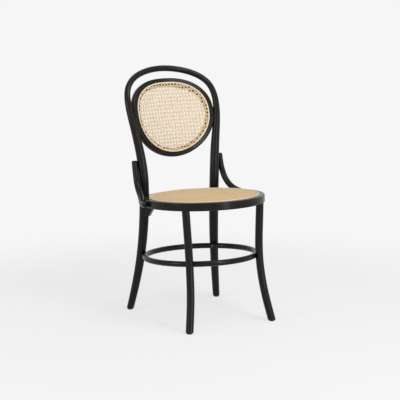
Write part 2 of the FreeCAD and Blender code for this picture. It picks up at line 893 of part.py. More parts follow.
def make_parts():
    posts = both_sides(bow_rod(glue_gap, post_stations, 0.5))
    front_leg = make_front_leg()
    brace = make_brace(posts)
    block = make_block(posts)
    return {
        "back_bow": [make_back_bow()],
        "back_ring": [make_back_ring(posts)],
        "back_cane": [back_cane_panel()],
        "back_spline": [make_back_spline()],
        "back_ring_screws": both_sides_at(wood_screw(back_screw_length), back_places),
        "back_screw_plugs": make_plugs(bow_rod(0, bow_stations)),
        "seat_ring": [make_seat_ring()],
        "seat_cane": [placed(seat_cane_panel(), seat_frame)],
        "seat_spline": [placed(seat_spline_ring(), seat_frame)],
        "front_leg_left": [front_leg],
        "front_leg_right": [mirrored(front_leg)],
        "tenon_lock_screws": both_sides_at(wood_screw(small_screw_length), [lock_place]),
        "leg_ring": [make_leg_ring()],
        "leg_ring_screws": both_sides_at(wood_screw(ring_screw_length),
                                         [rear_ring_place, front_ring_place]),
        "side_brace_left": [brace],
        "side_brace_right": [mirrored(brace)],
        "brace_top_screws": both_sides_at(wood_screw(brace_screw_length), [brace_top_place()]),
        "brace_seat_screws": both_sides_at(wood_screw(brace_screw_length), [brace_seat_place()]),
        "rear_block_left": [block],
        "rear_block_right": [mirrored(block)],
        "block_screws": both_sides_at(wood_screw(small_screw_length), block_places),
        "seat_bolts": both_sides_at(carriage_bolt(bolt_length), [bolt_place]),
        "seat_bolt_washers": both_sides_at(washer(), [washer_place]),
        "seat_bolt_nuts": both_sides_at(hex_nut(), [
            washer_place.multiply(FreeCAD.Placement(Vector(0, 0, washer_thickness),
                                                    FreeCAD.Rotation()))]),
        "foot_glides": both_sides_at(foot_glide(), foot_places),
        "glide_nails": both_sides_at(glide_nail(0), foot_places)}


parts = make_parts()
box = FreeCAD.BoundBox()
for shapes in parts.values():
    for shape in shapes:
        box.add(shape.optimalBoundingBox(False))
to_origin = Vector(-box.Center.x, -box.Center.y, -box.ZMin)

os.makedirs("parts", exist_ok=True)
for name, shapes in parts.items():
    for shape in shapes:
        shape.translate(to_origin)
    whole = shapes[0] if len(shapes) == 1 else Part.makeCompound(shapes)
    whole.exportStep("parts/" + name + ".step")
    volumes = [round(solid.Volume) for solid in whole.Solids]
    print(name, len(volumes), "solids", volumes, "valid" if whole.isValid() else "NOT VALID")
print("size", [round(length, 1) for length in (box.XLength, box.YLength, box.ZLength)],
      "moved back", round(to_origin.y, 3))
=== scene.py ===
# Bentwood bistro chair: woven cane, finishes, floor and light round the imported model
import math

import bpy
import numpy as np
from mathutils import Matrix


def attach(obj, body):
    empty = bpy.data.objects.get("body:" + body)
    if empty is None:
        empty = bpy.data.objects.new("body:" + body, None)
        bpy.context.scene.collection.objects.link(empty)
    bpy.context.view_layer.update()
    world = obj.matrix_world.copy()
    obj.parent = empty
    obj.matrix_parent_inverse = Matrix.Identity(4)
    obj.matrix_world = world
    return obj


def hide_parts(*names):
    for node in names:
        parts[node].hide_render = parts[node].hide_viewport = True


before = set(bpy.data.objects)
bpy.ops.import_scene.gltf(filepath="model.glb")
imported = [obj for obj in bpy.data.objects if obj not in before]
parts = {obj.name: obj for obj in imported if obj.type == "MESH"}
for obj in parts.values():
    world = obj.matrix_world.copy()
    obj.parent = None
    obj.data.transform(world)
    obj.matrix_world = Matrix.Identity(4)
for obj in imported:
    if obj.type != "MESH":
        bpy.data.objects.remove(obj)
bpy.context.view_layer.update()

print("model loaded:", len(parts), "parts")


# meshes

def meshPiece(name, points, quads, uv, tone, part):
    # points (n, 3), quads (m, 4), uv (m, 4, 2) on the corners, tone (n,) one value for each strand
    p = points[quads]
    volume = np.einsum("ij,ij->i", p[:, 0], np.cross(p[:, 1], p[:, 2]) + np.cross(p[:, 2], p[:, 3])).sum()
    if volume < 0:       # turned round, so that the faces point outwards
        quads, uv = quads[:, ::-1], uv[:, ::-1]
    mesh = bpy.data.meshes.new(name)
    mesh.vertices.add(len(points))
    mesh.vertices.foreach_set("co", points.astype(np.float32).ravel())
    mesh.loops.add(quads.size)
    mesh.loops.foreach_set("vertex_index", quads.astype(np.int32).ravel())
    mesh.polygons.add(len(quads))
    mesh.polygons.foreach_set("loop_start", np.arange(0, quads.size, 4, dtype=np.int32))
    mesh.update(calc_edges=True)
    mesh.polygons.foreach_set("use_smooth", np.ones(len(quads), dtype=bool))
    mesh.uv_layers.new(name="strand").data.foreach_set("uv", uv.astype(np.float32).ravel())
    mesh.attributes.new("tone", "FLOAT", "POINT").data.foreach_set("value", tone.astype(np.float32))
    mesh.validate()
    piece = bpy.data.objects.new(name, mesh)
    bpy.context.scene.collection.objects.link(piece)
    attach(piece, "root")
    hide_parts(part)
    return piece


def carryProfile(middle, side, up, profile):
    # a closed profile of 6 points carried along L paths of S stations:
    # point = middle + side * profile across + up * profile height, and each end closed by two quads
    lines, stations, _ = middle.shape
    count = len(profile)
    points = middle[:, :, None] + side[:, :, None] * profile[:, :1] + up[:, :, None] * profile[:, 1:]
    index = np.arange(lines * stations * count).reshape(lines, stations, count)
    beside = np.roll(index, -1, axis=2)
    walls = np.stack([index[:, :-1], index[:, 1:], beside[:, 1:], beside[:, :-1]], axis=-1)
    step = np.linalg.norm(np.diff(middle, axis=1), axis=2)
    along = np.concatenate([np.zeros((lines, 1)), np.cumsum(step, axis=1)], axis=1)
    along = along + weave["mapShift"] * np.arange(lines)[:, None]
    along = np.broadcast_to(along[:, :, None], index.shape)
    across = np.broadcast_to(np.arange(count) / count, index.shape)
    corners = [(across[:, :-1], along[:, :-1]), (across[:, 1:], along[:, 1:]),
               (across[:, 1:] + 1 / count, along[:, 1:]), (across[:, :-1] + 1 / count, along[:, :-1])]
    wallMap = np.stack([np.stack(corner, -1) for corner in corners], axis=-2)
    first, last = index[:, 0], index[:, -1]
    caps = np.concatenate([first[:, [0, 1, 2, 3]], first[:, [0, 3, 4, 5]],
                           last[:, [3, 2, 1, 0]], last[:, [5, 4, 3, 0]]])
    quads = np.concatenate([walls.reshape(-1, 4), caps])
    uv = np.concatenate([wallMap.reshape(-1, 4, 2), np.zeros((len(caps), 4, 2))])
    return points.reshape(-1, 3), quads, uv


# the weave of seat and back: pairs of uprights and rows, plain woven where they cross, and
# single diagonals that go over one pair and under the other, halfway between the crossings

weave = {
    "strandWidth": 0.00205,
    "strandThickness": 0.00088,
    "pairSpread": 0.163,       # from a pair's middle to each strand of it, in pitches
    "pairSwing": 0.58,         # rise and fall, in thicknesses
    "diagonalSwing": 0.72,
    "tuckDepth": 0.0007,       # the ends go down a little where they pass under the reed
    "tuckLength": 0.003,
    "station": 0.00165,        # between two profiles of a strand
    "shortest": 6,             # stations of the shortest strand that is kept
    "edgePoints": 720,
    "normalStep": 0.001,       # the sheet's normal is measured over this height
    "mapShift": 0.37,          # from one strand's map to the next, so that their fibres differ
    # a strand's tone = fraction of sin(number * first + letters in its name) * second, where the
    # numbers of a group start at a multiple of the third
    "toneSeeds": (12.9898, 43758.5453, 500),
    # flat strip of split cane: rounded skin above, flat pith below; across and height
    "profile": [(-0.5, -0.05), (-0.27, 0.42), (0.27, 0.42), (0.5, -0.05), (0.36, -0.5), (-0.36, -0.5)],
}
edgeTurns = np.linspace(-math.pi, math.pi, weave["edgePoints"] + 1)[:-1]


def strandLines(outline, direction, spacing, offset, station):
    # straight lines over a convex outline, at q = offset + k * spacing on the axis square to them,
    # each with the same count of stations from the outline's one side to its other
    c, s = math.cos(direction), math.sin(direction)
    r = outline @ np.array([c, s])
    q = outline @ np.array([-s, c])
    start = int(np.argmin(q))
    q, r = np.roll(q, -start), np.roll(r, -start)
    top = int(np.argmax(q))
    chainA = q[:top + 1], r[:top + 1]
    chainB = np.append(q[top:], q[0])[::-1], np.append(r[top:], r[0])[::-1]
    lowest, highest = math.ceil((q.min() - offset) / spacing), math.floor((q.max() - offset) / spacing)
    places = offset + spacing * np.arange(lowest, highest + 1)
    ends = np.sort(np.stack([np.interp(places, *chainA), np.interp(places, *chainB)]), axis=0)
    keep = ends[1] - ends[0] > weave["shortest"] * station
    places, ends = places[keep], ends[:, keep]
    t = np.linspace(0, 1, int((ends[1] - ends[0]).max() / station) + 1)
    r = ends[0][:, None] + (ends[1] - ends[0])[:, None] * t
    q = np.broadcast_to(places[:, None], r.shape)
    return np.stack([r * c - q * s, r * s + q * c], axis=-1)


def insideBy(flat, outline):
    # distance in from the outline = outline's radius in that direction - own radius
    turns = np.arctan2(outline[:, 1], outline[:, 0])
    reach = np.hypot(outline[:, 0], outline[:, 1])
    here = np.interp(np.arctan2(flat[..., 1], flat[..., 0]), turns, reach, period=2 * math.pi)
    return np.maximum(here - np.hypot(flat[..., 0], flat[..., 1]), 0)


def strandPiece(name, part, groups, outline, lift):
    # each group is (flat points, height over the sheet); near the outline a strand goes down by
    # tuckDepth * (1 - smoothstep(distance in / tuckLength))
    size = np.array([weave["strandWidth"], weave["strandThickness"]])
    firstSeed, secondSeed, groupStart = weave["toneSeeds"]
    meshes, tones = [], []
    for number, (flat, height) in enumerate(groups):
        t = np.clip(insideBy(flat, outline) / weave["tuckLength"], 0, 1)
        height = height - weave["tuckDepth"] * (1 - t * t * (3 - 2 * t))
        middle = lift(flat, height)
        up = lift(flat, height + weave["normalStep"]) - middle
        up /= np.linalg.norm(up, axis=-1, keepdims=True)
        side = np.cross(np.gradient(middle, axis=1), up)
        side /= np.linalg.norm(side, axis=-1, keepdims=True)
        meshes.append(carryProfile(middle, side, up, np.array(weave["profile"]) * size))
        perStrand = flat.shape[1] * len(weave["profile"])
        line = np.repeat(np.arange(len(flat)), perStrand) + groupStart * number
        tones.append(np.mod(np.sin(line * firstSeed + len(name)) * secondSeed, 1.0))
    starts = np.cumsum([0] + [len(points) for points, _, _ in meshes[:-1]])
    points = np.concatenate([points for points, _, _ in meshes])
    quads = np.concatenate([quads + start for (_, quads, _), start in zip(meshes, starts)])
    uv = np.concatenate([uv for _, _, uv in meshes])
    return meshPiece(name, points, quads, uv, np.concatenate(tones), part)


def weaveCane(part, outline, pitch, phase, lift):
    # in units of the pitch, x across and y along: an upright's height = +-swing * sin(2 pi y),
    # a row's = +-swing * sin(2 pi x), and a diagonal's = +-swing * c * (1.5 - 0.5 c^2), c = cos(2 pi x)
    pitch, phase = np.array(pitch), np.array(phase)
    inPitches = outline / pitch - phase
    station = weave["station"] / pitch[0]
    spread = weave["pairSpread"]
    pairSwing = weave["pairSwing"] * weave["strandThickness"]
    diagonalSwing = weave["diagonalSwing"] * weave["strandThickness"]
    uprights, rows = [], []
    for sign in (-1, 1):
        grid = strandLines(inPitches, math.pi / 2, 1.0, -sign * spread, station)
        uprights.append(((grid + phase) * pitch, -sign * pairSwing * np.sin(2 * math.pi * grid[..., 1])))
        grid = strandLines(inPitches, 0.0, 1.0, sign * spread, station)
        rows.append(((grid + phase) * pitch, sign * pairSwing * np.sin(2 * math.pi * grid[..., 0])))
    made = [strandPiece(part + "_uprights", part, uprights, outline, lift),
            strandPiece(part + "_rows", part, rows, outline, lift)]
    for name, turn, sign in (("_rising", math.pi / 4, -1), ("_falling", -math.pi / 4, 1)):
        grid = strandLines(inPitches, turn, math.sqrt(0.5), math.sqrt(0.5) / 2, station)
        c = np.cos(2 * math.pi * grid[..., 0])
        height = sign * diagonalSwing * c * (1.5 - 0.5 * c * c)
        made.append(strandPiece(part + name, part, [((grid + phase) * pitch, height)], outline, lift))
    return made


# cane of the back, on the hollow and leaning surface of its ring

backCane = {
    "middleHeight": 0.7196,
    "halfWidth": 0.17047,
    "above": (0.1212, 2.48),        # height over the middle and power of the outline
    "below": (0.1594, 1.96),
    "inset": 0.0214,                # from the ring's outer edge to the strands' ends under the reed
    "rise": 0.0107,                 # from the ring's middle surface to the cane's
    "hollow": 0.034,
    "hollowWidth": 0.1843,
    "lean": math.radians(2.6),
    # side view: depths at these heights
    "heights": [0.56, 0.60, 0.64, 0.68, 0.72, 0.76, 0.80, 0.84, 0.878],
    "depths": [0.130022, 0.135617, 0.14178, 0.149517, 0.159921, 0.172925, 0.188415, 0.206525, 0.226284],
    "curvePower": 5,
    "pitch": (0.0131, 0.0131),
    "phase": (-0.4, -0.1),
}
sideCurve = np.polyfit(np.array(backCane["heights"]) - backCane["middleHeight"], backCane["depths"],
                       backCane["curvePower"])


def backSurface(x, z):
    # y = side curve(z) + hollow * (1 - (x / hollowWidth)^2) + z * tan(lean), z from the ring's middle
    bow = backCane["hollow"] * (1 - (x / backCane["hollowWidth"]) ** 2)
    y = np.polyval(sideCurve, z) + bow + z * math.tan(backCane["lean"])
    return np.stack([x, y, z + backCane["middleHeight"]], axis=-1)


def backNormal(x, z):
    # to the front: (dy/dx, -1, dy/dz), made one long
    slopeX = -2 * backCane["hollow"] * x / backCane["hollowWidth"] ** 2
    slopeZ = np.polyval(np.polyder(sideCurve), z) + math.tan(backCane["lean"])
    n = np.stack([slopeX, -np.ones_like(x), slopeZ], axis=-1)
    return n / np.linalg.norm(n, axis=-1, keepdims=True)


def backLift(flat, height):
    x, z = flat[..., 0], flat[..., 1]
    return backSurface(x, z) + backNormal(x, z) * (backCane["rise"] + np.asarray(height))[..., None]


def backOutline():
    # radius = (|cos / halfWidth|^power + |sin / tall|^power)^(-1 / power), then in along the surface
    c, s = np.cos(edgeTurns), np.sin(edgeTurns)
    tall = np.where(s >= 0, backCane["above"][0], backCane["below"][0])
    power = np.where(s >= 0, backCane["above"][1], backCane["below"][1])
    reach = (np.abs(c / backCane["halfWidth"]) ** power + np.abs(s / tall) ** power) ** (-1 / power)
    x, z = reach * c, reach * s
    edge, n = backSurface(x, z), backNormal(x, z)
    along = np.roll(edge, -1, axis=0) - np.roll(edge, 1, axis=0)
    inwards = np.cross(n, along)
    inwards /= np.linalg.norm(inwards, axis=-1, keepdims=True)
    lip = edge + inwards * backCane["inset"] + n * backCane["rise"]
    flat = lip[:, [0, 2]] - np.array([0, backCane["middleHeight"]])
    for _ in range(3):              # back along the local normal to the middle surface; three settle it
        flat = flat + (lip - backLift(flat, np.zeros(len(flat))))[:, [0, 2]]
    return flat


backStrands = weaveCane("back_cane", backOutline(), backCane["pitch"], backCane["phase"], backLift)
print("back cane woven")


# cane of the seat, flat over its ring and tilted with it

seatCane = {
    "origin": (0.0, -0.052205, 0.447),
    "tilt": math.radians(3.8),      # front higher
    "radius": 0.1952,
    "rise": 0.001,
    "pitch": (0.0124, 0.0124),
    "phase": (0.0, 0.0),
}


def seatLift(flat, height):
    # origin + x * (1, 0, 0) + y * (0, cos, -sin) + height * (0, sin, cos) of the tilt
    c, s = math.cos(seatCane["tilt"]), math.sin(seatCane["tilt"])
    h = seatCane["rise"] + np.asarray(height)
    x, y = flat[..., 0], flat[..., 1]
    return np.stack([x, y * c + h * s, h * c - y * s], axis=-1) + np.array(seatCane["origin"])


seatOutline = seatCane["radius"] * np.stack([np.cos(edgeTurns), np.sin(edgeTurns)], axis=-1)
seatStrands = weaveCane("seat_cane", seatOutline, seatCane["pitch"], seatCane["phase"], seatLift)
print("seat cane woven")


# materials

def shade(red, green, blue):
    # a screen colour of 0 to 255 as a linear one
    v = np.array([red, green, blue]) / 255
    v = np.where(v <= 0.04045, v / 12.92, ((v + 0.055) / 1.055) ** 2.4)
    return (*v.tolist(), 1.0)


def place(tree, kind, feeds=None, **settings):
    # a shader node with its settings, and its inputs given as values or as other nodes' outputs
    node = tree.nodes.new("ShaderNode" + kind)
    for key, value in settings.items():
        setattr(node, key, value)
    for key, value in (feeds or {}).items():
        if isinstance(value, bpy.types.NodeSocket):
            tree.links.new(value, node.inputs[key])
        else:
            node.inputs[key].default_value = value
    return node


def sums(tree, operation, a, b=0.0, clamp=False):
    return place(tree, "Math", {0: a, 1: b}, operation=operation, use_clamp=clamp).outputs[0]


def weighted(tree, values, shares):
    # the values added up, each times its share
    total, *others = [sums(tree, "MULTIPLY", value, share) for value, share in zip(values, shares)]
    for other in others:
        total = sums(tree, "ADD", total, other)
    return total


def radial(tree, a, b):
    # sqrt(a^2 + b^2)
    squares = sums(tree, "ADD", sums(tree, "MULTIPLY", a, a), sums(tree, "MULTIPLY", b, b))
    return sums(tree, "SQRT", squares)


def mixed(tree, factor, a, b):
    return place(tree, "Mix", {0: factor, 6: a, 7: b}, data_type="RGBA").outputs[2]


def ranged(tree, value, low, high, toLow=0.0, toHigh=1.0):
    return place(tree, "MapRange", {0: value, 1: low, 2: high, 3: toLow, 4: toHigh}).outputs[0]


def noise(tree, spot, look):
    # look holds the noise's scale, detail and roughness
    return place(tree, "TexNoise", {"Vector": spot, **look}).outputs[0]


def scaled(tree, vector, factor):
    return place(tree, "VectorMath", {0: vector, 3: factor}, operation="SCALE").outputs[0]


def bumped(tree, surface, height, strength, distance):
    bump = place(tree, "Bump", {"Strength": strength, "Distance": distance, "Height": height})
    tree.links.new(bump.outputs[0], surface["Normal"])


def newGroup(name, inputs, outputs):
    tree = bpy.data.node_groups.new(name, "ShaderNodeTree")
    for label, kind, value in inputs:
        socket = tree.interface.new_socket(label, in_out="INPUT", socket_type="NodeSocket" + kind)
        socket.default_value = value
    for label in outputs:
        tree.interface.new_socket(label, in_out="OUTPUT", socket_type="NodeSocketFloat")
    return tree, tree.nodes.new("NodeGroupInput").outputs, tree.nodes.new("NodeGroupOutput").inputs


grainLook = {
    "radius": {"level": 0.2, "standing": 0.17, "hoop": 0.17},       # of the bend, in metres
    "tallness": {"standing": 1.2, "hoop": 1.33},                    # the bend's width over its height
    "drawnOut": 0.045,              # scale along the rod over scale across it
    "broad": {"Scale": 160.0, "Detail": 4.0, "Roughness": 0.62},
    "fine": {"Scale": 900.0, "Detail": 2.0, "Roughness": 0.5},
    "specks": {"Scale": 1500.0, "Detail": 1.0},
    "shares": (0.6, 0.4),           # of the broad and the fine streaks
    "streakRange": (0.32, 0.68),
    "poreRange": (0.60, 0.70),
}


def grainGroup(bend):
    # grain that follows a bent rod: along is measured round the bend and drawn out, so that the
    # streaks run with it; across is the distance from the bend's middle
    tree, given, out = newGroup("beechGrain_" + bend, [
        ("Position", "Vector", (0, 0, 0)), ("Middle", "Vector", (0, 0, 0)), ("Fineness", "Float", 1.0)],
        ["Streaks", "Pores"])
    offset = place(tree, "VectorMath", {0: given["Position"], 1: given["Middle"]}, operation="SUBTRACT")
    x, y, z = place(tree, "SeparateXYZ", {0: offset.outputs[0]}).outputs
    x = sums(tree, "ABSOLUTE", x)
    if bend == "upright":
        across, depth, along = x, y, z
    elif bend == "level":           # a ring that lies flat
        across, depth = radial(tree, x, y), z
        along = sums(tree, "MULTIPLY", sums(tree, "ARCTAN2", y, x), grainLook["radius"][bend])
    else:                           # a ring that stands, or a hoop on two posts
        above = sums(tree, "MAXIMUM", z, 0.0) if bend == "hoop" else z
        below = sums(tree, "MINIMUM", z, 0.0) if bend == "hoop" else 0.0
        tall = sums(tree, "MULTIPLY", above, grainLook["tallness"][bend])
        across, depth = radial(tree, x, tall), y
        bent = sums(tree, "MULTIPLY", sums(tree, "ARCTAN2", tall, x), grainLook["radius"][bend])
        along = sums(tree, "ADD", bent, below)
    drawn = sums(tree, "MULTIPLY", along, grainLook["drawnOut"])
    lengthwise = place(tree, "CombineXYZ", {0: across, 1: depth, 2: drawn}).outputs[0]
    spot = scaled(tree, lengthwise, given["Fineness"])
    streaks = [noise(tree, spot, grainLook["broad"]), noise(tree, spot, grainLook["fine"])]
    both = weighted(tree, streaks, grainLook["shares"])
    specks = noise(tree, spot, grainLook["specks"])
    tree.links.new(ranged(tree, both, *grainLook["streakRange"]), out["Streaks"])
    tree.links.new(ranged(tree, specks, *grainLook["poreRange"]), out["Pores"])
    return tree


rubLook = {
    "patches": {"Scale": 28.0, "Detail": 6.0, "Roughness": 0.68},
    "level": 0.86,                  # noise above this, less fall times the amount, is rubbed
    "fall": 0.36,
    "edge": 9.0,                    # how sharply a patch begins
}


def rubGroup():
    # where the finish is rubbed thin: broken patches, more of them the higher Amount is
    tree, given, out = newGroup("rubbed", [
        ("Position", "Vector", (0, 0, 0)), ("Amount", "Float", 0.5)], ["Mask"])
    patch = noise(tree, given["Position"], rubLook["patches"])
    level = sums(tree, "SUBTRACT", rubLook["level"], sums(tree, "MULTIPLY", given["Amount"], rubLook["fall"]))
    over = sums(tree, "MULTIPLY", sums(tree, "SUBTRACT", patch, level), rubLook["edge"], clamp=True)
    tree.links.new(over, out["Mask"])
    return tree


unevenLook = {
    "cloudDetail": 3.0,
    "fineDetail": 2.0,
    "fineness": 22.0,               # scale of the specks over scale of the clouds
    "range": (0.3, 0.7),
}


def unevenGroup():
    # cloudy unevenness of a finish, and fine dust-like specks
    tree, given, out = newGroup("uneven", [
        ("Position", "Vector", (0, 0, 0)), ("Size", "Float", 40.0)], ["Cloud", "Fine"])
    fineSize = sums(tree, "MULTIPLY", given["Size"], unevenLook["fineness"])
    for label, size, detail in (("Cloud", given["Size"], unevenLook["cloudDetail"]),
                                ("Fine", fineSize, unevenLook["fineDetail"])):
        value = noise(tree, given["Position"], {"Scale": size, "Detail": detail})
        tree.links.new(ranged(tree, value, *unevenLook["range"]), out[label])
    return tree


fibreLook = {
    "number": 14.0,                 # of fibres across a strand
    "along": 60.0,                  # scale of the fibres along it
    "blotch": (0.6, 38.0),          # scale of the blotches across and along it
    "fibreNoise": {"Scale": 1.0, "Detail": 3.0, "Roughness": 0.6},
    "blotchNoise": {"Scale": 1.0, "Detail": 2.0},
    "fibreRange": (0.3, 0.7),
    "blotchRange": (0.32, 0.7),
    "joints": 4.3,                  # of the plant, in a metre
    "jointReach": 0.012,            # on each side, as a share of the way to the next joint
}


def fibreGroup():
    # long fibres of split cane on the strand's own map: across 0 to 1, along in metres
    tree, given, out = newGroup("fibres", [
        ("Strand", "Vector", (0, 0, 0)), ("Number", "Float", fibreLook["number"])],
        ["Fibre", "Blotch", "Knuckle"])
    u, v, _ = place(tree, "SeparateXYZ", {0: given["Strand"]}).outputs
    blotchAcross, blotchAlong = fibreLook["blotch"]
    thin = place(tree, "CombineXYZ", {0: sums(tree, "MULTIPLY", u, given["Number"]),
                                      1: sums(tree, "MULTIPLY", v, fibreLook["along"])})
    wide = place(tree, "CombineXYZ", {0: sums(tree, "MULTIPLY", u, blotchAcross),
                                      1: sums(tree, "MULTIPLY", v, blotchAlong)})
    fibre = noise(tree, thin.outputs[0], fibreLook["fibreNoise"])
    blotch = noise(tree, wide.outputs[0], fibreLook["blotchNoise"])
    between = sums(tree, "FRACT", sums(tree, "MULTIPLY", v, fibreLook["joints"]))
    fromJoint = sums(tree, "ABSOLUTE", sums(tree, "SUBTRACT", between, 0.5))
    tree.links.new(ranged(tree, fibre, *fibreLook["fibreRange"]), out["Fibre"])
    tree.links.new(ranged(tree, blotch, *fibreLook["blotchRange"]), out["Blotch"])
    tree.links.new(ranged(tree, fromJoint, 0.0, fibreLook["jointReach"], 1.0, 0.0), out["Knuckle"])
    return tree


def useGroup(tree, group, **feeds):
    return place(tree, "Group", feeds, node_tree=group).outputs


def clearTree(owner):
    owner.use_nodes = True
    owner.node_tree.nodes.clear()
    return owner.node_tree


def newMaterial(name):
    material = bpy.data.materials.new(name)
    tree = clearTree(material)
    output = tree.nodes.new("ShaderNodeOutputMaterial")
    surface = tree.nodes.new("ShaderNodeBsdfPrincipled")
    tree.links.new(surface.outputs[0], output.inputs["Surface"])
    return material, tree, surface.inputs


def dress(material, *names):
    for name in names:
        for holder in parts[name].material_slots:
            holder.material = material


grains = {bend: grainGroup(bend) for bend in ("upright", "level", "standing", "hoop")}
rubbed, uneven, fibres = rubGroup(), unevenGroup(), fibreGroup()

lacquer = {
    "black": shade(15, 14, 13),
    "brownish": shade(27, 23, 20),
    "bare": shade(92, 64, 42),
    "roughness": (0.22, 0.36),
    "rubbedRoughness": 0.25,        # added where the finish is rubbed
    "glossShares": (0.6, 0.4),      # of clouds and streaks in the roughness
    "specular": 0.13,
    "coat": 0.10,
    "coatRoughness": 0.14,
    "cloudSize": 24.0,
    "footHeight": 0.055,            # the finish is rubbed most below this
    "footRub": 0.55,
    "streakRelief": 0.5,
    "bump": (0.22, 0.0002),
}


def blackBeech(name, bend, middle, rub, fineness):
    # thin satin lacquer over bent beech: grain shows faintly in colour, gloss and relief
    material, tree, surface = newMaterial(name)
    position = place(tree, "TexCoord").outputs["Object"]
    grain = useGroup(tree, grains[bend], Position=position, Middle=middle, Fineness=fineness)
    clouds = useGroup(tree, uneven, Position=position, Size=lacquer["cloudSize"])
    height = place(tree, "SeparateXYZ", {0: position}).outputs[2]
    nearFloor = ranged(tree, height, 0.0, lacquer["footHeight"], lacquer["footRub"], 0.0)
    marks = useGroup(tree, rubbed, Position=position, Amount=sums(tree, "ADD", nearFloor, rub))
    wood = mixed(tree, grain["Streaks"], lacquer["black"], lacquer["brownish"])
    tree.links.new(mixed(tree, marks["Mask"], wood, lacquer["bare"]), surface["Base Color"])
    dullness = weighted(tree, (clouds["Cloud"], grain["Streaks"]), lacquer["glossShares"])
    gloss = ranged(tree, dullness, 0.0, 1.0, *lacquer["roughness"])
    worn = sums(tree, "MULTIPLY", marks["Mask"], lacquer["rubbedRoughness"])
    tree.links.new(sums(tree, "ADD", gloss, worn), surface["Roughness"])
    ridges = sums(tree, "MULTIPLY", grain["Streaks"], lacquer["streakRelief"])
    bumped(tree, surface, sums(tree, "SUBTRACT", ridges, grain["Pores"]), *lacquer["bump"])
    surface["Specular IOR Level"].default_value = lacquer["specular"]
    surface["Coat Weight"].default_value = lacquer["coat"]
    surface["Coat Roughness"].default_value = lacquer["coatRoughness"]
    return material


ringMiddle, seatMiddle = (0.0, 0.17, backCane["middleHeight"]), seatCane["origin"]
beechPieces = [
    # material, bend and its middle, how much is rubbed, fineness of the grain, pieces
    ("beech_back_bow", "hoop", (0.0, 0.19, 0.740), 0.3, 1.0, ["back_bow"]),
    ("beech_back_ring", "standing", ringMiddle, 0.3, 1.0, ["back_ring"]),
    ("beech_seat_ring", "level", seatMiddle, 0.36, 1.0, ["seat_ring"]),
    ("beech_leg_ring", "level", (0.0, -0.0276, 0.2236), 0.42, 1.0, ["leg_ring"]),
    ("beech_legs", "upright", (0.0, 0.0, 0.0), 0.3, 1.0, ["front_leg_left", "front_leg_right"]),
    ("beech_braces", "upright", (0.0, 0.0, 0.4), 0.3, 1.1,
     ["side_brace_left", "side_brace_right", "rear_block_left", "rear_block_right"]),
    ("beech_plugs", "upright", (0.0, 0.0, 0.0), 0.3, 1.6, ["back_screw_plugs"]),
]
for name, bend, middle, rub, fineness, pieces in beechPieces:
    dress(blackBeech(name, bend, middle, rub, fineness), *pieces)
print("wood finished")


caneLook = {
    "pale": shade(242, 222, 184),
    "honey": shade(214, 181, 132),
    "knuckle": shade(160, 114, 68),
    "knuckleShare": 0.7,
    "shares": (0.4, 0.4, 0.22),     # of tone, blotches and fibres in the step from pale to honey
    "backPaintedLight": -0.12,            # added to that step: a painted light that makes the back's copy of the cane paler than the seat's
    # painted shade added to that step: the seat's copy of the same cane is made darker and warmer, standing
    # in for the weave's own shadow and bounced light
    "seatPaintedShade": 0.2,
    "roughness": (0.34, 0.52),
    "specular": 0.4,
    "bump": (0.3, 0.0001),
}


def splitCane(name, paintedShading):
    # each strand has its own tone; fibres run along it, with a darker joint now and then; a painted shade
    # makes the seat's copy darker and warmer, and a painted light makes the back's copy paler
    material, tree, surface = newMaterial(name)
    strand = place(tree, "UVMap", uv_map="strand").outputs[0]
    tone = place(tree, "Attribute", attribute_name="tone").outputs["Fac"]
    fibre = useGroup(tree, fibres, Strand=strand)
    toned = weighted(tree, (tone, fibre["Blotch"], fibre["Fibre"]), caneLook["shares"])
    # painted shade for the seat, and painted light (a negative value) for the back, added to the tone
    amount = sums(tree, "ADD", toned, paintedShading, clamp=True)
    skin = mixed(tree, amount, caneLook["pale"], caneLook["honey"])
    jointShare = sums(tree, "MULTIPLY", fibre["Knuckle"], caneLook["knuckleShare"])
    tree.links.new(mixed(tree, jointShare, skin, caneLook["knuckle"]), surface["Base Color"])
    tree.links.new(ranged(tree, fibre["Fibre"], 0.0, 1.0, *caneLook["roughness"]), surface["Roughness"])
    bumped(tree, surface, fibre["Fibre"], *caneLook["bump"])
    surface["Specular IOR Level"].default_value = caneLook["specular"]
    return material


for pieces, material in ((backStrands, splitCane("split_cane_back_painted_light", caneLook["backPaintedLight"])),
                         (seatStrands, splitCane("split_cane_seat_painted_shade", caneLook["seatPaintedShade"]))):
    for piece in pieces:
        piece.data.materials.append(material)


reedLook = {
    "pale": shade(246, 234, 210),
    "tan": shade(230, 210, 176),
    "shares": (0.55, 0.4),          # of streaks and clouds in the step from pale to tan
    "fineness": 1.3,
    "cloudSize": 60.0,
    "roughness": (0.5, 0.66),
    "specular": 0.35,
    "bump": (0.3, 0.00015),
}


def reed(name, bend, middle):
    # reed pressed into the groove: soft fibres along it and cloudy tones
    material, tree, surface = newMaterial(name)
    position = place(tree, "TexCoord").outputs["Object"]
    grain = useGroup(tree, grains[bend], Position=position, Middle=middle, Fineness=reedLook["fineness"])
    clouds = useGroup(tree, uneven, Position=position, Size=reedLook["cloudSize"])
    amount = weighted(tree, (grain["Streaks"], clouds["Cloud"]), reedLook["shares"])
    tree.links.new(mixed(tree, amount, reedLook["pale"], reedLook["tan"]), surface["Base Color"])
    tree.links.new(ranged(tree, grain["Streaks"], 0.0, 1.0, *reedLook["roughness"]), surface["Roughness"])
    bumped(tree, surface, grain["Streaks"], *reedLook["bump"])
    surface["Specular IOR Level"].default_value = reedLook["specular"]
    return material


dress(reed("reed_back", "standing", ringMiddle), "back_spline")
dress(reed("reed_seat", "level", seatMiddle), "seat_spline")
print("cane and reed finished")


steelLook = {
    "screws": (shade(70, 66, 62), shade(150, 146, 140), (0.34, 0.50)),      # dark, bright, roughness
    "bolts": (shade(120, 118, 114), shade(185, 182, 176), (0.30, 0.46)),
    "cloudSize": 260.0,
    "cloudShare": 0.5,              # how far the clouds go from dark to bright
    "markScale": 9.0,
    "rub": 0.75,
    "bump": (0.2, 0.0001),
}


